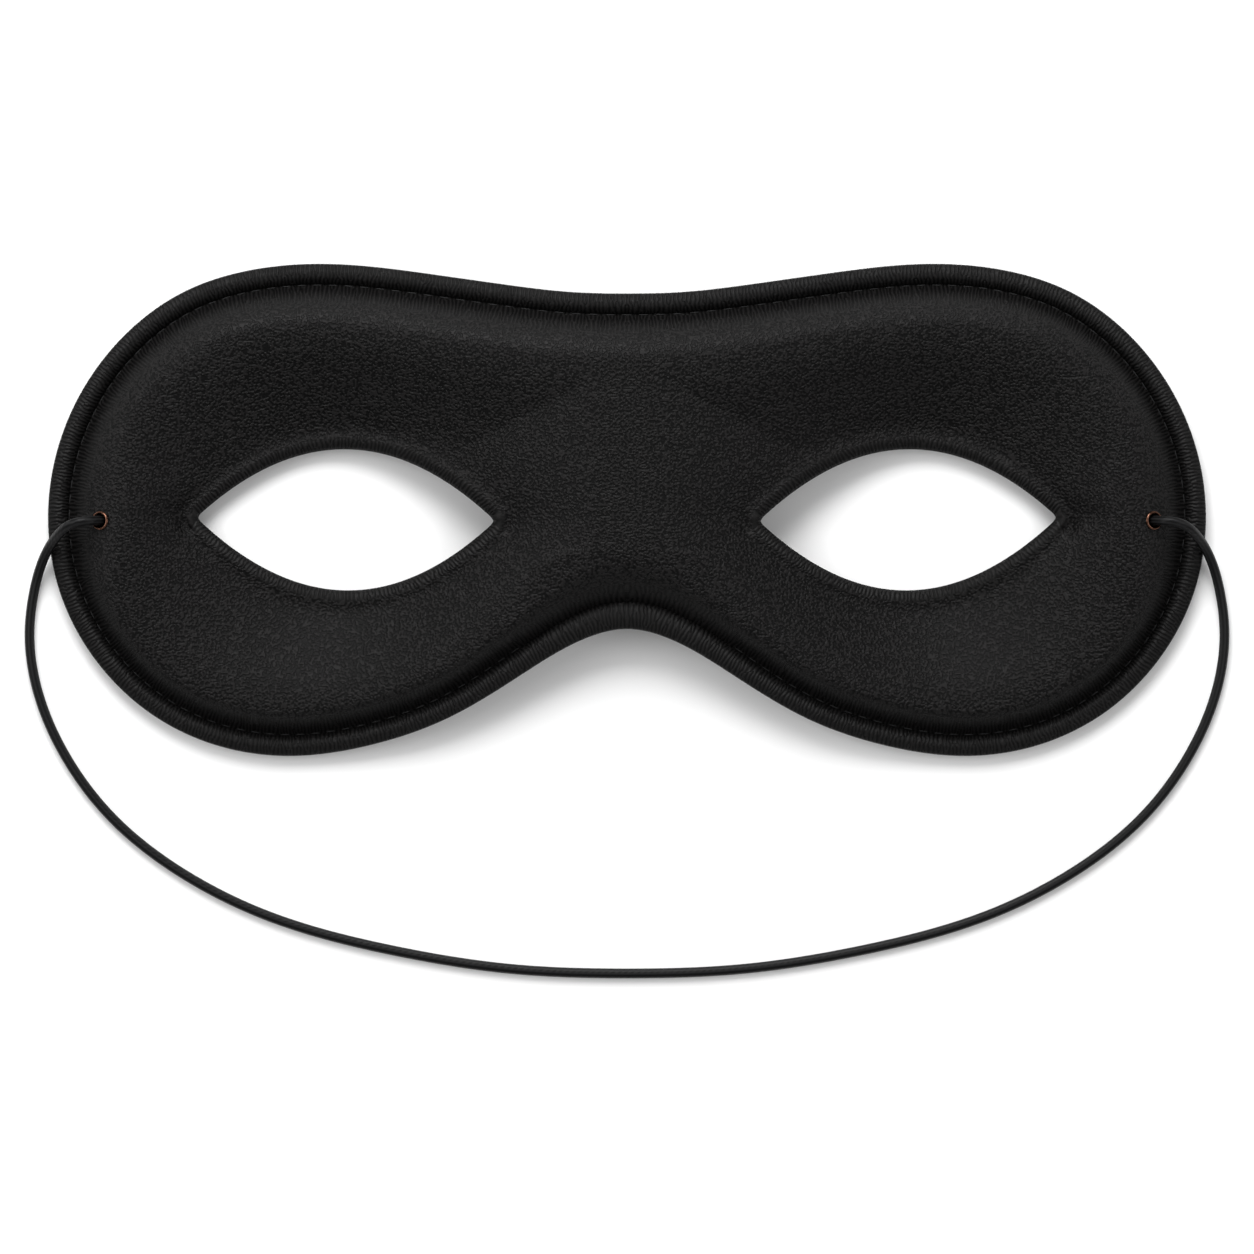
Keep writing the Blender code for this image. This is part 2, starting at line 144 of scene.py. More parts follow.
def linear(hex_colour):
    """An sRGB hex colour as the linear colour that a shader takes."""
    parts = [int(hex_colour[k:k + 2], 16) / 255 for k in (1, 3, 5)]
    return (*(p / 12.92 if p <= 0.04045 else ((p + 0.055) / 1.055) ** 2.4 for p in parts), 1.0)


def add_node(tree, kind, settings=None, **links):
    """Adds a node: settings are its properties, and links its sockets' values or other sockets."""
    node = tree.nodes.new(kind)
    for name, value in (settings or {}).items():
        setattr(node, name, value)
    for name, value in links.items():
        numbered = name[0] == "_" and name[1:].isdigit()
        socket = node.inputs[int(name[1:]) if numbered else name.replace("_", " ")]
        if isinstance(value, bpy.types.NodeSocket):
            tree.links.new(value, socket)
        else:
            socket.default_value = value
    return node


def new_material(name):
    """A material with its Principled shader and its node tree."""
    material = bpy.data.materials.new(name)
    material.use_nodes = True
    return material, material.node_tree, material.node_tree.nodes["Principled BSDF"]


def finish_piece(name, bm, material):
    """The finished mesh as an object of one material, riding on the mask."""
    mesh = bpy.data.meshes.new(name)
    bm.to_mesh(mesh)
    bm.free()
    mesh.shade_smooth()
    mesh.materials.append(material)
    piece = bpy.data.objects.new(name, mesh)
    bpy.context.scene.collection.objects.link(piece)
    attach(piece, "root")
    return piece


def tube(bm, line, along, radius_at, sides):
    """A round tube along the line, its own UV map in metres: along it, and round it."""
    tangents = np.gradient(line, axis=0)
    tangents /= np.linalg.norm(tangents, axis=1)[:, None]
    side = np.cross(tangents[0], (0.0, 1.0, 0.0))
    frames = []
    for tangent in tangents:
        side = side - tangent * side.dot(tangent)
        side /= np.linalg.norm(side)
        frames.append((side, np.cross(tangent, side)))
    uv = bm.loops.layers.uv.verify()
    count = len(line) - 1
    verts = bmesh.ops.create_grid(bm, x_segments=count, y_segments=sides, size=0.5)["verts"]
    place = {}
    for vert in verts:
        k, turn = round((vert.co.x + 0.5) * count), round((vert.co.y + 0.5) * sides)
        angle = math.tau * turn / sides
        across, up = frames[k]
        radius = radius_at(k, angle)
        place[vert] = (along[k], angle * CORD_DIAMETER / 2)
        vert.co = Vector(line[k] + (across * math.cos(angle) + up * math.sin(angle)) * radius)
    for face in {face for vert in verts for face in vert.link_faces}:
        for loop in face.loops:
            loop[uv].uv = place[loop.vert]
    bmesh.ops.remove_doubles(bm, verts=verts, dist=0.001 * MM)


half_route = np.array(CORD_ROUTE, float) * MM
route = np.vstack([half_route, half_route[-2::-1] * np.array([-1.0, 1.0, 1.0])])
cord_line, cord_along = even_steps(route, CORD_STEPS)
cord_line[:, 2] = np.maximum(cord_line[:, 2], CORD_DIAMETER / 2 + CORD_REST)

# Braided polyester over rubber: near black, with a painted sheen: the colour is banded lighter along each
# rib of the braid.
elastic, tree, shader = new_material("braided black elastic")
cord_map = add_node(tree, "ShaderNodeUVMap")
cord_mm = add_node(tree, "ShaderNodeMapping", Vector=cord_map.outputs["UV"], Scale=(1 / MM, 1 / MM, 1.0))
braid = add_node(
    tree, "ShaderNodeTexWave", {"bands_direction": "DIAGONAL"},
    Vector=cord_mm.outputs["Vector"], Scale=0.62, Distortion=0.8, Detail=1.0,
)
rows = add_node(
    tree, "ShaderNodeTexWave", {"bands_direction": "Y"},
    Vector=cord_mm.outputs["Vector"], Scale=math.tau / 20 * 1.64, Distortion=0.6, Detail=1.0,
)
# Painted sheen: the base colour runs lighter along each rib, standing in for the gloss lines.
rib_sheen_tone = add_node(
    tree, "ShaderNodeMix", {"data_type": "RGBA"},
    Factor=rows.outputs["Fac"], A=linear("#040404"), B=linear("#1b1b1c"),
)
weave = add_node(
    tree, "ShaderNodeBump", Strength=0.5, Distance=0.04 * MM, Height=braid.outputs["Fac"],
)
tree.links.new(rib_sheen_tone.outputs[2], shader.inputs["Base Color"])
tree.links.new(weave.outputs["Normal"], shader.inputs["Normal"])
shader.inputs["Roughness"].default_value = 0.42
shader.inputs["Specular IOR Level"].default_value = 0.12

bm = bmesh.new()
tube(
    bm, cord_line, cord_along,
    lambda k, angle: CORD_DIAMETER / 2 - CORD_RIB_HEIGHT * (0.5 + 0.5 * math.cos(CORD_RIBS * angle)),
    CORD_SIDES,
)
bmesh.ops.holes_fill(bm, edges=bm.edges, sides=CORD_SIDES + 1)
bmesh.ops.recalc_face_normals(bm, faces=bm.faces)
cord = finish_piece("elastic_loop", bm, elastic)
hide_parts("elastic_cord")

# The mask itself: thin foam faced with knitted cloth on both sides and pressed in a mould.
# Its puffed ring stands up round each eye, and its rim is a thin tongue inside the bound edge.
MASK_WIDTH = 180.0 * MM
MASK_HEIGHT = 76.5 * MM
SHELL_WALL = 1.8 * MM
CREST_HEIGHT = 8.8 * MM
CREST_SETBACK = 5.0 * MM
BRIDGE_LIFT = 6.5 * MM
BRIDGE_REACH = 52.0 * MM
EYE_LENGTH = 45.9 * MM
EYE_RISE = 10.9 * MM
EYE_DROP = 11.0 * MM
EYE_SPACING = 87.3 * MM
EYE_LINE = -1.5 * MM
EYE_SLANT = 0.6 * MM
CORNER_BLUNT = 0.8 * MM
LIP_WIDTH = 1.6 * MM
LIP_HEIGHT = 0.3 * MM
LIP_TURN = 0.8 * MM
BINDING_WIDTH = 3.1 * MM
BINDING_WALL = 0.6 * MM
TONGUE = 1.0 * MM
FIT_GAP = 0.3 * MM
FOOT = 0.4 * MM
TONGUE_TOP = BINDING_WALL + FIT_GAP + TONGUE
SEAM_LIFT = 0.45 * MM
CLOSE_FOOT = 0.12 * MM
CLOSE_LIFT = 0.75 * MM

# The outline from the middle of the brow round the temple to the nose arch: shares of half the
# width and height, and of BINDING_WIDTH, CREST_SETBACK and CREST_HEIGHT
OUTLINE_COLUMNS = ("across", "up", "border", "setback", "crest", "shoulder")
OUTLINE = (
    (0.000, 0.874, 1.00, 1.38, 0.90, 1.00),
    (0.104, 0.882, 1.00, 1.38, 0.92, 1.00),
    (0.207, 0.911, 1.00, 1.36, 0.96, 1.00),
    (0.346, 0.959, 1.00, 1.30, 1.00, 1.00),
    (0.519, 1.000, 1.00, 1.26, 1.00, 1.00),
    (0.657, 0.972, 1.00, 1.24, 0.97, 1.00),
    (0.761, 0.892, 1.00, 1.22, 0.95, 1.00),
    (0.864, 0.720, 1.00, 1.20, 0.93, 1.00),
    (0.933, 0.518, 1.00, 1.22, 0.92, 1.00),
    (0.979, 0.285, 1.00, 1.45, 0.92, 1.00),
    (1.000, 0.000, 1.00, 1.80, 0.93, 1.00),
    (0.975, -0.366, 1.00, 1.15, 0.88, 0.90),
    (0.913, -0.626, 1.00, 0.80, 0.80, 0.60),
    (0.827, -0.821, 1.00, 0.72, 0.75, 0.50),
    (0.717, -0.951, 1.00, 0.72, 0.74, 0.45),
    (0.588, -1.000, 1.00, 0.72, 0.74, 0.45),
    (0.449, -0.959, 1.00, 0.72, 0.74, 0.45),
    (0.311, -0.848, 1.02, 0.72, 0.76, 0.50),
    (0.173, -0.656, 1.12, 0.74, 0.80, 0.55),
    (0.069, -0.520, 1.30, 1.10, 0.85, 0.80),
    (0.000, -0.484, 1.38, 1.45, 0.90, 1.00),
)

# The dish between the eye and the ring, by the angle round the eye from the temple by the brow
DISH_COLUMNS = ("angle", "lip", "start", "end")
DISH = (
    (0, 0.46, 0.00, 1.00),
    (45, 0.42, 0.00, 1.00),
    (90, 0.40, 0.00, 1.00),
    (135, 0.46, 0.00, 0.95),
    (180, 0.52, 0.00, 0.76),
    (225, 0.40, 0.00, 0.95),
    (270, 0.34, 0.00, 1.00),
    (315, 0.36, 0.00, 1.00),
)
DISH_FOOT = 0.18
DISH_SHOULDER = 0.30

# How finely the cloth is drawn, and the reach of what the sewing pulls
EDGE_COLUMNS = 440
NOSE_COLUMNS = 56
RISE_ROWS = 12
DISH_ROWS = 20
LIP_ROWS = 4
STITCH_PITCH = 2.55 * MM
PUCKER_DEPTH = 0.16 * MM
PUCKER_REACH = 1.3 * MM
RIB_REACH = 5.0 * MM
LIP_RIB_REACH = 3.0 * MM


def column(table, names, name):
    """One named column of a table."""
    return np.array([row[names.index(name)] for row in table], float)


def mirrored(values, sign):
    """A half loop's values followed by those of its mirror image, without the two ends again."""
    return np.concatenate([values, sign * values[-2:0:-1]])


def make_edge_reader():
    """Reads the outline at a share of the way from the brow's middle to the nose arch."""
    across = column(OUTLINE, OUTLINE_COLUMNS, "across") * MASK_WIDTH / 2
    up = column(OUTLINE, OUTLINE_COLUMNS, "up") * MASK_HEIGHT / 2
    border = column(OUTLINE, OUTLINE_COLUMNS, "border") * BINDING_WIDTH
    setback = column(OUTLINE, OUTLINE_COLUMNS, "setback") * CREST_SETBACK
    crest = column(OUTLINE, OUTLINE_COLUMNS, "crest") * CREST_HEIGHT
    shoulder = column(OUTLINE, OUTLINE_COLUMNS, "shoulder")
    even = [mirrored(values, 1.0) for values in (up, border, setback, crest, shoulder)]
    loop = np.stack([mirrored(across, -1.0), *even], axis=1)
    chords = np.linalg.norm(np.roll(loop[:, :2], -1, axis=0) - loop[:, :2], axis=1)
    knots = np.concatenate([[0.0], np.cumsum(chords)[:-1]])
    curve = smooth_curve(knots, loop, period=float(chords.sum()))
    fine = np.linspace(0.0, chords.sum() / 2, 3000)
    places = np.array([curve(at)[:2] for at in fine])
    walked = np.concatenate([[0.0], np.cumsum(np.linalg.norm(np.diff(places, axis=0), axis=1))])
    nearby = 0.05 * MM

    def read(share):
        at = float(np.interp(share * walked[-1], walked, fine))
        row = curve(at)
        ahead, behind = curve(at + nearby)[:2], curve(at - nearby)[:2]
        along = (ahead - behind) / np.linalg.norm(ahead - behind)
        inward = np.array([along[1], -along[0]])
        return row[:2], inward, row[2], row[3], row[4], min(row[5], 1.0)

    return read, walked[-1]


read_edge, edge_length = make_edge_reader()
read_dish = smooth_curve(
    column(DISH, DISH_COLUMNS, "angle"), np.array([row[1:] for row in DISH], float), period=360.0
)


def smooth_step(share):
    """0 before 0, 1 after 1 and an easy curve between."""
    share = min(max(share, 0.0), 1.0)
    return share * share * (3 - 2 * share)


def straight_rise(share, foot, shoulder):
    """0 to 1 up a straight slope whose ends are rounded over these shares of it."""
    share = min(max(share, 0.0), 1.0)
    steepness = 1.0 / (1.0 - foot / 2 - shoulder / 2)
    if share < foot:
        return steepness * share * share / (2 * foot)
    if share < 1.0 - shoulder:
        return steepness * (share - foot / 2)
    return 1.0 - steepness * (1.0 - share) ** 2 / (2 * shoulder)


def bridge_lift(x):
    """How far the nose bridge lifts the mask off the surface at this distance from its middle."""
    share = min(abs(x) / BRIDGE_REACH, 1.0)
    return BRIDGE_LIFT * (1.0 - share * share) ** 2


def seam_share(share):
    """How much of a sewn groove there is: all round but for the nose arch, where cloth runs over."""
    return 1.0 - smooth_step((share - 0.915) / 0.035)


def stitch_pull(share):
    """How hard the thread pulls here: 1 at the middle of a stitch and 0 between two."""
    return 0.5 + 0.5 * math.cos(math.tau * share * edge_length / STITCH_PITCH)


def rise_foot(share):
    """How far in from the strip the rise starts, and how high: close against it at the nose arch."""
    seam = seam_share(share)
    return CLOSE_FOOT + (FOOT - CLOSE_FOOT) * seam, CLOSE_LIFT + (SEAM_LIFT - CLOSE_LIFT) * seam


def border_point(share, depth):
    """A point of the mask's face near its edge: how far round, and how far in from the edge."""
    place, inward, border, setback, crest, shoulder = read_edge(share)
    x, y = place + inward * depth
    foot, lift = rise_foot(share)
    start = TONGUE_TOP + lift * min(max((depth - border) / foot, 0.0), 1.0)
    risen = straight_rise((depth - border - foot) / (setback + FOOT - foot), 0.0, shoulder)
    height = start + (crest - start) * risen
    near = math.exp(-(((depth - border) / PUCKER_REACH) ** 2))
    height -= PUCKER_DEPTH * near * stitch_pull(share) * seam_share(share)
    return np.array([x, y, bridge_lift(x) + height])


def eye_edge(angle):
    """The point of the eye opening's edge at this angle round its centre, and its outward direction."""
    cos, sin = math.cos(angle), math.sin(angle)
    half = EYE_LENGTH / 2 + CORNER_BLUNT / math.e
    tall = EYE_RISE if sin >= 0 else EYE_DROP
    if abs(cos) < 1e-6:
        across = 0.0
    else:
        root = math.sqrt((half * sin) ** 2 + (2 * tall * cos) ** 2)
        across = math.copysign((root - half * abs(sin)) / (2 * tall * abs(cos)), cos)
    up = math.copysign(tall * (1.0 - across * across), sin)
    past = abs(across) * half - (half - CORNER_BLUNT)
    if past > 0:
        reach = half - CORNER_BLUNT * math.exp(-past / CORNER_BLUNT)
    else:
        reach = abs(across) * half
    away = np.array([2 * tall * abs(across) / half * math.copysign(1.0, cos), math.copysign(1.0, sin)])
    if abs(across) > 0.9999:
        away = np.array([math.copysign(1.0, cos), 0.0])
    centre = np.array([EYE_SPACING / 2, EYE_LINE])
    place = centre + np.array([math.copysign(reach, across), up + across * EYE_SLANT / 2])
    return place, away / np.linalg.norm(away)


def dish_columns():
    """For each point of the crest and nose ridge: the eye's edge, its outward direction and its row."""
    line = []
    for k in range(EDGE_COLUMNS + 1):
        share = k / EDGE_COLUMNS
        _, _, border, setback, _, _ = read_edge(share)
        line.append(border_point(share, border + FOOT + setback))
    arch, brow = line[-1], line[0]
    for k in range(1, NOSE_COLUMNS):
        line.append(arch + (brow - arch) * k / NOSE_COLUMNS)
    centre = np.array([EYE_SPACING / 2, EYE_LINE])
    angles = [math.atan2(*(point[:2] - centre)[::-1]) for point in line]
    corners = {
        min(range(len(line)), key=lambda k: abs(math.remainder(angles[k] - corner, math.tau))): corner
        for corner in (0.0, math.pi)
    }
    columns, walked, last = [], 0.0, None
    for k, (point, angle) in enumerate(zip(line, angles)):
        place, away = eye_edge(corners.get(k, angle))
        walked += 0.0 if last is None else float(np.linalg.norm(place - last))
        last = place
        columns.append((point, place, away, read_dish(math.degrees(angle)), walked))
    return columns


# A small tuck beyond each corner of the eye, where the lining is turned through
TUCK_DEPTH = 0.8 * MM
TUCK_RADIUS = 1.1 * MM
TUCKS = tuple(
    (EYE_SPACING / 2 + side * (EYE_LENGTH / 2 + 2.0 * MM), EYE_LINE - 1.0 * MM) for side in (1, -1)
)

dish = dish_columns()
dish_rows = LIP_ROWS + DISH_ROWS


def dish_point(k, row):
    """A point of the dish: row 0 is the turned edge of the eye, and the last row the crest."""
    outer, eye, away, (lip, start, end), _ = dish[k % len(dish)]
    lip = lip * CREST_HEIGHT
    if row <= LIP_ROWS:
        share = row / LIP_ROWS
        x, y = eye + away * LIP_WIDTH * share
        return np.array([x, y, bridge_lift(x) + lip - LIP_TURN * (1.0 - share) ** 2])
    share = ((row - LIP_ROWS) / DISH_ROWS) ** 1.25
    lip_place = eye + away * LIP_WIDTH
    reach = float(np.linalg.norm(outer[:2] - lip_place))
    x, y = lip_place + (outer[:2] - lip_place) * share
    floor = lip - LIP_HEIGHT * smooth_step(share * reach / LIP_WIDTH)
    risen = straight_rise((share - start) / (end - start), DISH_FOOT, DISH_SHOULDER)
    crest = outer[2] - bridge_lift(outer[0])
    height = floor + (crest - floor) * risen
    for tuck in TUCKS:
        height -= TUCK_DEPTH * math.exp(-math.dist((x, y), tuck) ** 2 / TUCK_RADIUS ** 2)
    return np.array([x, y, bridge_lift(x) + height])


def lay_cloth(bm, columns, rows, place, lie, wall):
    """A grid of cloth, with a UV map of how it lies round its edge, its pull and its wall's share."""
    uv = bm.loops.layers.uv.verify()
    group = bm.verts.layers.deform.verify()
    pull = bm.verts.layers.float.get("pull") or bm.verts.layers.float.new("pull")
    facts = {}
    verts = bmesh.ops.create_grid(bm, x_segments=columns, y_segments=rows, size=0.5)["verts"]
    for vert in verts:
        k, row = round((vert.co.x + 0.5) * columns), round((vert.co.y + 0.5) * rows)
        vert.co = Vector(place(k, row))
        along, depth, strength = lie(k, row)
        facts[vert] = (along, depth)
        vert[pull] = strength
        vert[group][0] = wall(row)
    for face in {face for vert in verts for face in vert.link_faces}:
        for loop in face.loops:
            loop[uv].uv = facts[loop.vert]


def rise_depth(share, row):
    """How far in from the edge a row of the rise lies: the tongue first, then up to the crest."""
    _, _, border, setback, _, _ = read_edge(share)
    foot, _ = rise_foot(share)
    if row < 3:
        return (BINDING_WALL + FIT_GAP, border - FIT_GAP, border + foot)[row]
    return border + foot + (setback + FOOT - foot) * ((row - 2) / (RISE_ROWS - 2)) ** 1.3


def rise_lie(k, row):
    """Where a point of the rise lies on its cloth, and how far the seam's ribs reach it."""
    share = k / EDGE_COLUMNS
    depth = rise_depth(share, row)
    _, _, border, _, _, _ = read_edge(share)
    return share * edge_length, depth, 1.0 - smooth_step((depth - border) / RIB_REACH)


def dish_lie(k, row):
    """Where a point of the dish lies on its cloth, and how far the ribs of the eye's lip reach it."""
    outer, eye, away, _, walked = dish[k % len(dish)]
    if k == len(dish):
        walked = dish[-1][4] + float(np.linalg.norm(dish[0][1] - dish[-1][1]))
    depth = float(np.linalg.norm(dish_point(k, row)[:2] - eye))
    return walked, depth, 1.0 - smooth_step(depth / LIP_RIB_REACH)


# Warp-knitted polyester on foam: matt, near black, with a soft worm-like grain of loops.
# The loops are drawn about 0.7 mm apart, and turn into ribs where the seams and the lips pull them; their
# colour is painted shade, darker in the hollows and lighter on the tops.
GRAIN = 0.40
RIB = 0.62
RIB_WAVES = 2.0


def worm_height(tree, gabor):
    """Rounded ridges of even height along a Gabor pattern's lines."""
    turn = add_node(
        tree, "ShaderNodeMath", {"operation": "MULTIPLY"}, _0=gabor.outputs["Phase"], _1=math.tau
    )
    swing = add_node(tree, "ShaderNodeMath", {"operation": "COSINE"}, _0=turn.outputs["Value"])
    return add_node(
        tree, "ShaderNodeMath", {"operation": "MULTIPLY_ADD"},
        _0=swing.outputs["Value"], _1=0.5, _2=0.5,
    )


def knitted_cloth(name):
    """The knitted cloth: loops on the flat, and ribs square to an edge where the cloth is pulled."""
    material, tree, shader = new_material(name)
    where = add_node(tree, "ShaderNodeTexCoord")
    flat = add_node(
        tree, "ShaderNodeMapping", Vector=where.outputs["Object"], Scale=(1 / MM, 1 / MM, 1 / MM)
    )
    grain = add_node(
        tree, "ShaderNodeTexNoise", Vector=flat.outputs["Vector"], Scale=1 / GRAIN, Detail=0.0,
    )
    loops = add_node(
        tree, "ShaderNodeMapRange", {"interpolation_type": "SMOOTHSTEP"},
        Value=grain.outputs["Fac"], From_Min=0.34, From_Max=0.66, To_Min=0.0, To_Max=1.0,
    )
    lie = add_node(tree, "ShaderNodeUVMap")
    along = add_node(tree, "ShaderNodeMapping", Vector=lie.outputs["UV"], Scale=(1 / MM, 1 / MM, 1.0))
    ribs = add_node(
        tree, "ShaderNodeTexGabor", {"gabor_type": "2D"},
        Vector=along.outputs["Vector"], Scale=1 / (RIB_WAVES * RIB), Frequency=RIB_WAVES,
        Anisotropy=0.9, Orientation=0.0,
    )
    wales = worm_height(tree, ribs)
    pull = add_node(tree, "ShaderNodeAttribute", {"attribute_name": "pull"})
    share = add_node(
        tree, "ShaderNodeMapRange", {"interpolation_type": "SMOOTHSTEP"},
        Value=pull.outputs["Fac"], From_Min=0.12, From_Max=0.60, To_Min=0.0, To_Max=0.9,
    )
    height = add_node(
        tree, "ShaderNodeMix", {"data_type": "FLOAT"},
        Factor=share.outputs["Result"], A=loops.outputs["Result"], B=wales.outputs["Value"],
    )
    # Painted shade: the colour follows the relief, darker between the loops and ribs and lighter on their
    # tops.
    relief_shade_tone = add_node(
        tree, "ShaderNodeMix", {"data_type": "RGBA"},
        Factor=height.outputs[0], A=linear("#010101"), B=linear("#151414"),
    )
    relief = add_node(
        tree, "ShaderNodeBump", Strength=1.0, Distance=0.12 * MM, Height=height.outputs[0]
    )
    tree.links.new(relief_shade_tone.outputs[2], shader.inputs["Base Color"])
    tree.links.new(relief.outputs["Normal"], shader.inputs["Normal"])
    shader.inputs["Roughness"].default_value = 0.5
    shader.inputs["Specular IOR Level"].default_value = 0.12
    return material


# Where each eyelet stands: its place on the temple, the way it faces and the hole cut for it
EYELET_SETBACK = 8.4 * MM
EYELET_HEIGHT = -1.7 * MM
EYELET_WALL = 0.15 * MM
EYELET_FLANGE = 0.3 * MM
EYELET_ROLL = 0.35 * MM
EYELET_GAP = 0.25 * MM
SLOPE_ALLOWANCE = 0.2 * MM
EYELET_STEPS = 64
BORE_RADIUS = CORD_DIAMETER / 2 + EYELET_GAP
BARREL_RADIUS = BORE_RADIUS + EYELET_WALL
FLANGE_RADIUS = BARREL_RADIUS + EYELET_FLANGE
HOLE_SIDES = 16
HOLE_RADIUS = BARREL_RADIUS + 0.05 * MM

low, high = 0.2, 0.8
for _ in range(40):
    middle = (low + high) / 2
    if border_point(middle, EYELET_SETBACK)[1] > EYELET_HEIGHT:
        low = middle
    else:
        high = middle
seat_share = (low + high) / 2
eyelet_seat = border_point(seat_share, EYELET_SETBACK)
outward = border_point(seat_share, EYELET_SETBACK + BORE_RADIUS)
outward -= border_point(seat_share, EYELET_SETBACK - BORE_RADIUS)
around = border_point(seat_share + 0.002, EYELET_SETBACK) - eyelet_seat
facing = np.cross(around, outward)
facing /= np.linalg.norm(facing)
facing = Vector(facing if facing[2] > 0 else -facing)

face_cloth = knitted_cloth("warp-knitted polyester on foam")

bm = bmesh.new()
lay_cloth(
    bm, EDGE_COLUMNS, RISE_ROWS,
    lambda k, row: border_point(k / EDGE_COLUMNS, rise_depth(k / EDGE_COLUMNS, row)),
    rise_lie, lambda row: 0.0 if row < 3 else 1.0,
)
lay_cloth(bm, len(dish), dish_rows, dish_point, dish_lie, lambda row: 1.0)
bmesh.ops.remove_doubles(bm, verts=bm.verts, dist=0.004 * MM)
for vert in bm.verts:
    if abs(vert.co.x) < 0.01 * MM:
        vert.co.x = 0.0
hole_middle = Vector(eyelet_seat)
spokes = []
for k in range(HOLE_SIDES):
    spoke = Vector(outward).normalized()
    spoke.rotate(Matrix.Rotation(math.tau * k / HOLE_SIDES, 3, facing))
    spokes.append(spoke)
nearby = [face for face in bm.faces if (face.calc_center_median() - hole_middle).length < 4 * HOLE_RADIUS]
for spoke in spokes:
    touched = {part for face in nearby for part in (face, *face.edges, *face.verts)}
    cut = bmesh.ops.bisect_plane(
        bm, geom=list(touched), dist=0.001 * MM, plane_co=hole_middle + spoke * HOLE_RADIUS, plane_no=spoke,
    )
    nearby = [part for part in cut["geom"] if isinstance(part, bmesh.types.BMFace)]
inside = [
    face for face in nearby
    if all((face.calc_center_median() - hole_middle).dot(spoke) < HOLE_RADIUS for spoke in spokes)
]
bmesh.ops.delete(bm, geom=inside, context="FACES")
bmesh.ops.recalc_face_normals(bm, faces=bm.faces)
if sum(face.normal.z for face in bm.faces) < 0:
    bmesh.ops.reverse_faces(bm, faces=bm.faces)
mask = finish_piece("padded_mask", bm, face_cloth)
mask.vertex_groups.new(name="full wall")
mirror = mask.modifiers.new("other half", "MIRROR")
mirror.merge_threshold = 0.01 * MM
wall = mask.modifiers.new("foam", "SOLIDIFY")
wall.thickness = SHELL_WALL
wall.offset = -1.0
wall.vertex_group = "full wall"
wall.thickness_vertex_group = TONGUE / SHELL_WALL
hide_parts("mask_shell")

# The bound edge: a strip of the same cloth folded round the rim and sewn down through it.
# At the nose arch no seam shows, and the cloth runs straight over the edge.
BINDING_CROWN = 0.42 * MM


def binding_section(border):
    """The folded strip's section: depth in from the edge and height, once round."""
    top = 2 * BINDING_WALL + 2 * FIT_GAP + TONGUE
    corner = 1.2 * BINDING_WALL
    outer = [
        (border, 0.0), (0.6 * border, 0.0), (corner, 0.0), (0.42 * corner, 0.12 * corner),
        (0.12 * corner, 0.42 * corner), (0.0, corner), (0.0, 0.5 * top), (0.0, top - corner),
        (0.06 * corner, top - 0.62 * corner), (0.26 * corner, top - 0.26 * corner),
        (0.75 * corner, top + 0.02 * corner), (0.35 * border, top + 0.85 * BINDING_CROWN),
        (0.50 * border, top + BINDING_CROWN), (0.66 * border, top + 0.9 * BINDING_CROWN),
        (0.80 * border, top + 0.5 * BINDING_CROWN), (0.92 * border, top - 0.12 * MM),
        (border, top - 0.38 * MM), (border + 0.08 * MM, TONGUE_TOP + 0.02 * MM),
    ]
    inner = [
        (border - 0.1 * MM, TONGUE_TOP + 0.02 * MM), (0.6 * border, TONGUE_TOP + FIT_GAP),
        (BINDING_WALL, TONGUE_TOP + FIT_GAP), (BINDING_WALL, BINDING_WALL),
        (0.6 * border, BINDING_WALL), (border, BINDING_WALL),
    ]
    return outer + inner


def binding_place(k, row):
    """A point of the strip, pulled down a little by each stitch along its inner side."""
    share = k / EDGE_COLUMNS
    edge, inward, border, _, _, _ = read_edge(share)
    section = binding_section(border)
    depth, height = section[row % len(section)]
    near = math.exp(-(((depth - border) / (0.8 * MM)) ** 2)) if height > TONGUE_TOP else 0.0
    height -= PUCKER_DEPTH * near * stitch_pull(share) * seam_share(share)
    x, y = edge + inward * depth
    return np.array([x, y, bridge_lift(x) + height])


def binding_lie(k, row):
    """Where a point of the strip lies on its cloth."""
    section = binding_section(BINDING_WIDTH)
    round_it = sum(math.dist(section[j], section[(j + 1) % len(section)]) for j in range(row))
    return k / EDGE_COLUMNS * edge_length, round_it, 0.75


strip_cloth = knitted_cloth("folded knitted binding")
bm = bmesh.new()
lay_cloth(
    bm, EDGE_COLUMNS, len(binding_section(BINDING_WIDTH)),
    binding_place, binding_lie, lambda row: 1.0,
)
bmesh.ops.remove_doubles(bm, verts=bm.verts, dist=0.004 * MM)
for vert in bm.verts:
    if abs(vert.co.x) < 0.01 * MM:
        vert.co.x = 0.0
bmesh.ops.recalc_face_normals(bm, faces=bm.faces)
lowest = min(bm.faces, key=lambda face: face.calc_center_median().z)
if lowest.normal.z > 0:
    bmesh.ops.reverse_faces(bm, faces=bm.faces)
binding = finish_piece("folded_binding", bm, strip_cloth)
mirror = binding.modifiers.new("other half", "MIRROR")
mirror.merge_threshold = 0.01 * MM
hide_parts("edge_binding")

# The seam: a lockstitch in black polyester thread, in the groove between the strip and the face.
# Each stitch shows 1.9 mm of thread and dips into the cloth before the next.
STITCH_LENGTH = 1.9 * MM
THREAD_RADIUS = 0.11 * MM
THREAD_SETBACK = 0.22 * MM
THREAD_LIFT = 0.10 * MM

thread, tree, shader = new_material("black polyester thread")
shader.inputs["Base Color"].default_value = linear("#141415")
shader.inputs["Roughness"].default_value = 0.5
shader.inputs["Specular IOR Level"].default_value = 0.3
twist_place = add_node(tree, "ShaderNodeTexCoord")
twist = add_node(tree, "ShaderNodeTexNoise", Vector=twist_place.outputs["Object"], Scale=6000.0)
twist_bump = add_node(tree, "ShaderNodeBump", Distance=0.03 * MM, Height=twist.outputs["Fac"])
tree.links.new(twist_bump.outputs["Normal"], shader.inputs["Normal"])

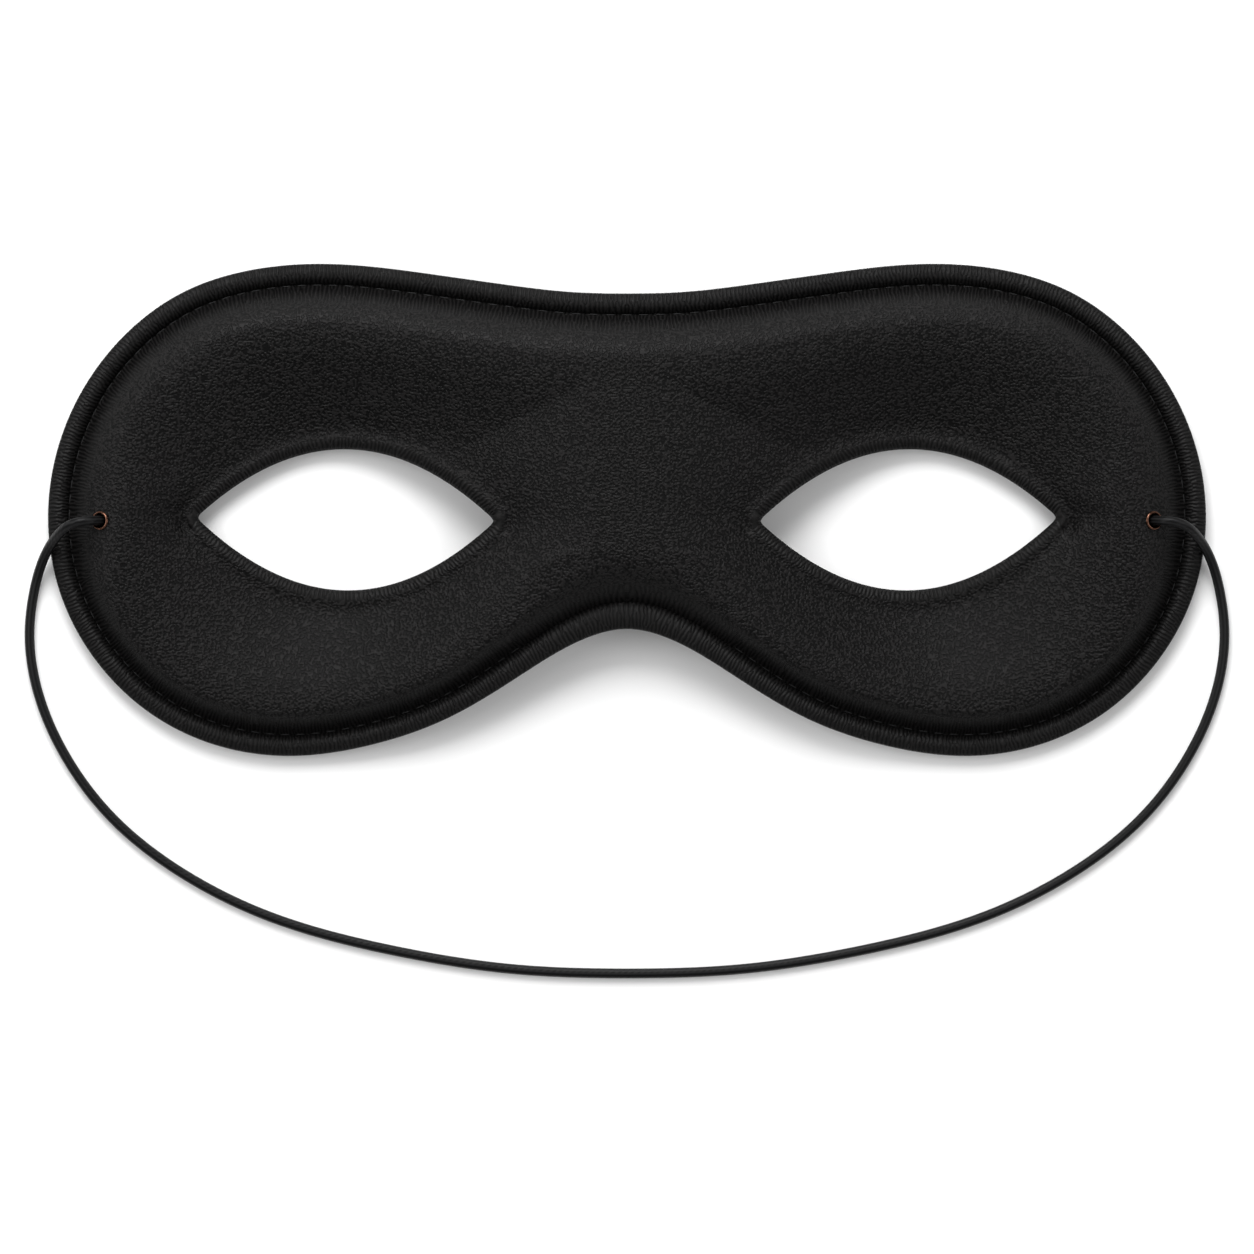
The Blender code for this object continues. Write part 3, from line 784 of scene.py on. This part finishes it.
bm = bmesh.new()
stitch_count = int(edge_length / STITCH_PITCH)
for number in range(stitch_count):
    share = number * STITCH_PITCH / edge_length
    if seam_share(share) < 0.6:
        continue
    _, _, border, _, _, _ = read_edge(share)
    seam_depth = border + THREAD_SETBACK
    step = 0.3 * STITCH_LENGTH / edge_length
    seat = border_point(share, seam_depth)
    ahead = border_point(share + step, seam_depth)
    behind = border_point(share - step, seam_depth)
    along = Vector(ahead - behind).normalized()
    for side in (1, -1):
        if number == 0 and side == -1:
            continue
        turn = Vector((side * along.x, along.y, along.z)).to_track_quat("X", "Z").to_matrix().to_4x4()
        place = Matrix.Translation((side * seat[0], seat[1], seat[2] + THREAD_LIFT)) @ turn
        stitch = bmesh.ops.create_uvsphere(bm, u_segments=8, v_segments=6, radius=0.5)["verts"]
        bmesh.ops.rotate(bm, verts=stitch, matrix=Matrix.Rotation(math.pi / 2, 3, "Y"))
        bmesh.ops.scale(bm, verts=stitch, vec=(STITCH_LENGTH, 2 * THREAD_RADIUS, 2 * THREAD_RADIUS))
        bmesh.ops.transform(bm, verts=stitch, matrix=place)
seam = finish_piece("edge_stitches", bm, thread)

# The eyelets: rolled brass tube with an old copper finish, set through each temple.
# A rolled flange holds the cloth on each side, and the cord comes up through the bore.
ROLL_SECTION = (
    (0.0, 0.10), (0.04, 0.50), (0.15, 0.82), (0.32, 0.97), (0.5, 1.0), (0.7, 0.93),
    (0.88, 0.74), (0.97, 0.50), (1.0, 0.28), (0.97, 0.08), (0.93, 0.0),
)

copper, tree, shader = new_material("rolled brass with an old copper finish")
copper_place = add_node(tree, "ShaderNodeTexCoord")
tarnish = add_node(
    tree, "ShaderNodeTexNoise", Vector=copper_place.outputs["Object"], Scale=900.0, Detail=4.0,
)
patina = add_node(
    tree, "ShaderNodeMix", {"data_type": "RGBA"},
    Factor=tarnish.outputs["Fac"], A=linear("#2e1b14"), B=linear("#7c5a4a"),
)
worn = add_node(
    tree, "ShaderNodeMapRange", Value=tarnish.outputs["Fac"],
    From_Min=0.3, From_Max=0.7, To_Min=0.12, To_Max=0.25,
)
tree.links.new(patina.outputs[2], shader.inputs["Base Color"])
tree.links.new(worn.outputs["Result"], shader.inputs["Roughness"])
shader.inputs["Metallic"].default_value = 1.0

face_level, back_level = 0.0, -SHELL_WALL - SLOPE_ALLOWANCE
band = FLANGE_RADIUS - BORE_RADIUS
front = [(BORE_RADIUS + out * band, face_level + rise * EYELET_ROLL) for out, rise in ROLL_SECTION]
rear = [(BORE_RADIUS + out * band, back_level - rise * EYELET_ROLL) for out, rise in ROLL_SECTION]
profile = front + [(BARREL_RADIUS, face_level), (BARREL_RADIUS, back_level)] + rear[::-1]
for name, side in {"left": -1, "right": 1}.items():
    bm = bmesh.new()
    verts = [bm.verts.new((radius, 0.0, height)) for radius, height in profile]
    edges = [bm.edges.new((vert, verts[(k + 1) % len(verts)])) for k, vert in enumerate(verts)]
    bmesh.ops.spin(
        bm, geom=verts + edges, cent=(0, 0, 0), axis=(0, 0, 1), angle=math.tau,
        steps=EYELET_STEPS, use_merge=True,
    )
    bmesh.ops.remove_doubles(bm, verts=bm.verts, dist=0.001 * MM)
    bmesh.ops.recalc_face_normals(bm, faces=bm.faces)
    turn = Vector((side * facing.x, facing.y, facing.z)).to_track_quat("Z", "Y").to_matrix().to_4x4()
    place = Matrix.Translation((side * eyelet_seat[0], eyelet_seat[1], eyelet_seat[2])) @ turn
    bmesh.ops.transform(bm, verts=bm.verts, matrix=place)
    eyelet = finish_piece("rolled_eyelet_" + name, bm, copper)
    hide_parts("eyelet_" + name)

# The knots: the cord's ends, each tied in a tight overhand knot that can't pass the eyelet.
# They sit behind the cloth, close under the rear flange.
KNOT_WIDTH = 3.0 * MM
KNOT_LENGTH = 2.6 * MM
KNOT_STRAND = 1.05 * MM
for name, side in {"left": -1, "right": 1}.items():
    axis = Vector((side * facing.x, facing.y, facing.z))
    behind = SHELL_WALL + FIT_GAP + SLOPE_ALLOWANCE + EYELET_ROLL + FIT_GAP + KNOT_LENGTH / 2
    place = Vector((side * eyelet_seat[0], eyelet_seat[1], eyelet_seat[2])) - axis * behind
    turns = np.linspace(0.0, math.tau, 97)
    trefoil = np.stack([
        np.sin(turns) + 2 * np.sin(2 * turns), np.cos(turns) - 2 * np.cos(2 * turns), -np.sin(3 * turns)
    ], axis=1)
    trefoil *= np.array([1 / 6, 1 / 6, 1 / 2]) * np.array(
        [KNOT_WIDTH - KNOT_STRAND, KNOT_WIDTH - KNOT_STRAND, KNOT_LENGTH - KNOT_STRAND]
    )
    turn = axis.to_track_quat("Z", "Y").to_matrix()
    line = np.array([turn @ Vector(point) + place for point in trefoil])
    along = np.concatenate([[0.0], np.cumsum(np.linalg.norm(np.diff(line, axis=0), axis=1))])
    bm = bmesh.new()
    tube(bm, line, along, lambda k, angle: KNOT_STRAND / 2, 14)
    bmesh.ops.remove_doubles(bm, verts=bm.verts, dist=0.05 * MM)
    bmesh.ops.recalc_face_normals(bm, faces=bm.faces)
    knot = finish_piece("overhand_knot_" + name, bm, elastic)
    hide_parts("cord_knot_" + name)

# The surface under the mask: a plain matt white studio floor.
FLOOR_SIZE = 6.0

floor_finish, tree, shader = new_material("matt white studio floor")
shader.inputs["Base Color"].default_value = linear("#f6f6f6")
shader.inputs["Roughness"].default_value = 0.9
shader.inputs["Specular IOR Level"].default_value = 0.1
bm = bmesh.new()
bmesh.ops.create_grid(bm, x_segments=1, y_segments=1, size=FLOOR_SIZE / 2)
mesh = bpy.data.meshes.new("floor")
bm.to_mesh(mesh)
bm.free()
mesh.materials.append(floor_finish)
floor = bpy.data.objects.new("floor", mesh)
bpy.context.scene.collection.objects.link(floor)

# The studio light: one broad soft light low over the brow, weaker ones at the sides, and white walls.
LIGHTS = {
    "over the brow": ((-0.10, 0.66, 0.60), 0.6, 10.0),
    "left side": ((-0.62, 0.10, 0.60), 0.5, 2.4),
    "right side": ((0.62, -0.05, 0.60), 0.5, 1.6),
}
for name, (place, size, power) in LIGHTS.items():
    lamp = bpy.data.lights.new(name, "AREA")
    lamp.shape = "SQUARE"
    lamp.size = size
    lamp.energy = power
    light = bpy.data.objects.new(name, lamp)
    light.location = place
    light.rotation_euler = (-Vector(place)).to_track_quat("-Z", "Y").to_euler()
    bpy.context.scene.collection.objects.link(light)

world = bpy.data.worlds.new("white studio walls")
world.use_nodes = True
backdrop = world.node_tree.nodes["Background"]
backdrop.inputs["Color"].default_value = linear("#ffffff")
backdrop.inputs["Strength"].default_value = 0.4
bpy.context.scene.world = world
bpy.context.scene.view_settings.view_transform = "Standard"
